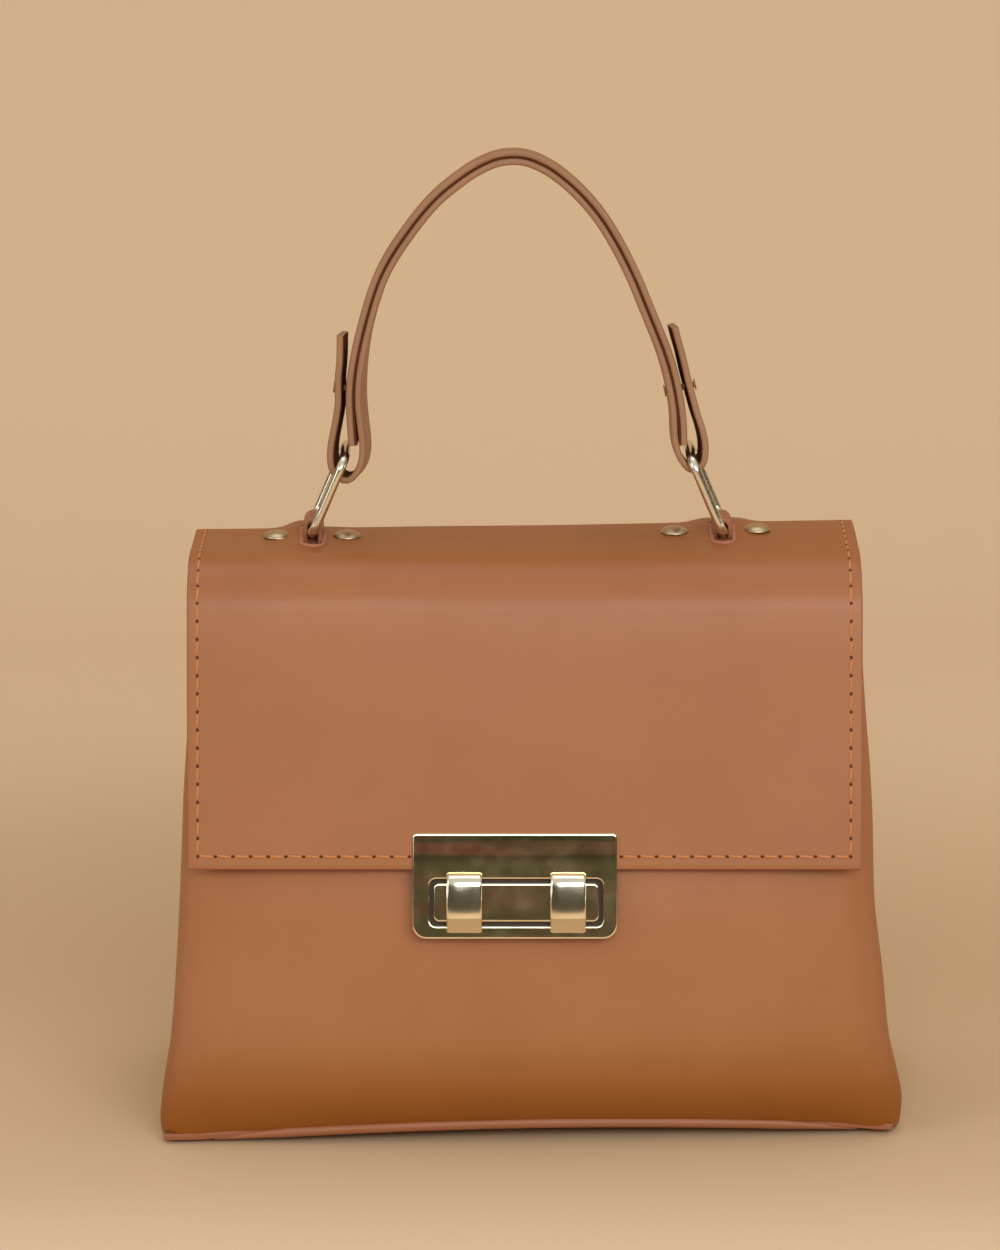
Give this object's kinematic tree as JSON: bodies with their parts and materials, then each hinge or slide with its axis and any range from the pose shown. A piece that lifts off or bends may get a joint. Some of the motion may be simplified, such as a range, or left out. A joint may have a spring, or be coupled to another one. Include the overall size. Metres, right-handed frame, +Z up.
{
  "type": "crossbody bag",
  "caption": "Small structured flap bag with a rounded box body, a folding flap with a metal plate turn lock, and an arched top handle hung on wire rings.",
  "frame": {"origin": "centre of the whole bag's bounding box in plan, at the level the bag stands on", "axes": "+Z up, -Y towards the flap's lock side, +X to the right as seen from the front"},
  "size_m": [0.222, 0.1038, 0.291],
  "materials": {
    "leather": "smooth pigmented calf leather, tan, satin",
    "handle_leather": "smooth leather, olive tan, dark groove",
    "lining_cloth": "woven cotton lining",
    "lining_leather": "thin split leather",
    "foam": "closed-cell foam sheet",
    "board": "bonded stiffener board",
    "brass": "polished pale gold",
    "steel": "plated steel"
  },
  "bodies": {
    "bag": {"front_panel": "leather", "back_panel": "leather", "side_gusset_left": "leather", "side_gusset_right": "leather", "bottom_panel": "leather", "bottom_piping_front": "leather", "bottom_piping_back": "leather", "front_foam": "foam", "back_foam": "foam", "base_board": "board", "lining": "lining_cloth", "inner_pocket": "lining_cloth", "flap_back_leaf": "leather", "strike_plate": "brass", "strike_backing": "steel", "strike_rivets": "brass", "dring_tab_left": "leather", "dring_tab_right": "leather", "dring_rivets": "brass"},
    "flap_top": {"flap_top": "leather", "flap_stiffener": "board", "flap_top_lining": "lining_leather", "ring_tab_left": "leather", "ring_tab_right": "leather", "tab_rivets": "brass", "tab_washers": "steel"},
    "flap_front": {"flap_front": "leather", "flap_front_lining": "lining_leather", "lock_plate": "brass", "lock_clamp": "steel", "lock_tray": "steel", "lock_inlay": "brass"},
    "toggle_left": {"toggle_left": "brass", "toggle_cam_left": "steel", "toggle_clip_left": "steel"},
    "toggle_right": {"toggle_right": "brass", "toggle_cam_right": "steel", "toggle_clip_right": "steel"},
    "ring_left": {"ring_left": "brass"},
    "ring_right": {"ring_right": "brass"},
    "handle": {"handle_outer_layer": "handle_leather", "handle_core": "handle_leather", "handle_inner_layer": "handle_leather", "handle_rivets": "brass"},
    "dring_left": {"dring_left": "brass"},
    "dring_right": {"dring_right": "brass"}
  },
  "joints": [
    {"name": "flap_open", "type": "hinge", "parent": "bag", "child": "flap_top", "pos_m": [0, 0.02689, 0.1723], "axis": [-1, 0, 0], "range_deg": [0, 110]},
    {"name": "flap_fold", "type": "hinge", "parent": "flap_top", "child": "flap_front", "pos_m": [0, -0.02055, 0.17146], "axis": [-1, 0, 0], "range_deg": [0, 90]},
    {"name": "turn_left", "type": "hinge", "parent": "flap_front", "child": "toggle_left", "pos_m": [-0.01865, -0.0454, 0.07735], "axis": [0, -0.9744, 0.225], "range_deg": [0, 90]},
    {"name": "turn_right", "type": "hinge", "parent": "flap_front", "child": "toggle_right", "pos_m": [0.01175, -0.0454, 0.07735], "axis": [0, -0.9744, 0.225], "range_deg": [-90, 0]},
    {"name": "ring_left_swing", "type": "hinge", "parent": "flap_top", "child": "ring_left", "pos_m": [-0.06405, 0.00959, 0.1777], "axis": [0, 1, 0], "range_deg": [-12, 12]},
    {"name": "ring_right_swing", "type": "hinge", "parent": "flap_top", "child": "ring_right", "pos_m": [0.05825, 0.00959, 0.1777], "axis": [0, 1, 0], "range_deg": [-13, 13]},
    {"name": "handle_swing", "type": "hinge", "parent": "ring_left", "child": "handle", "pos_m": [-0.05421, 0.00959, 0.20079], "axis": [0, 1, 0], "range_deg": [-16, 16]},
    {"name": "dring_left_lift", "type": "hinge", "parent": "bag", "child": "dring_left", "pos_m": [-0.09297, 0.00359, 0.153], "axis": [0, 1, 0], "range_deg": [0, 75]},
    {"name": "dring_right_lift", "type": "hinge", "parent": "bag", "child": "dring_right", "pos_m": [0.09297, 0.00359, 0.153], "axis": [0, -1, 0], "range_deg": [0, 75]}
  ],
  "couplings": [
    {"joint": "ring_right_swing", "follows": "ring_left_swing", "ratio": 1},
    {"joint": "handle_swing", "follows": "ring_left_swing", "ratio": -1.1918}
  ]
}
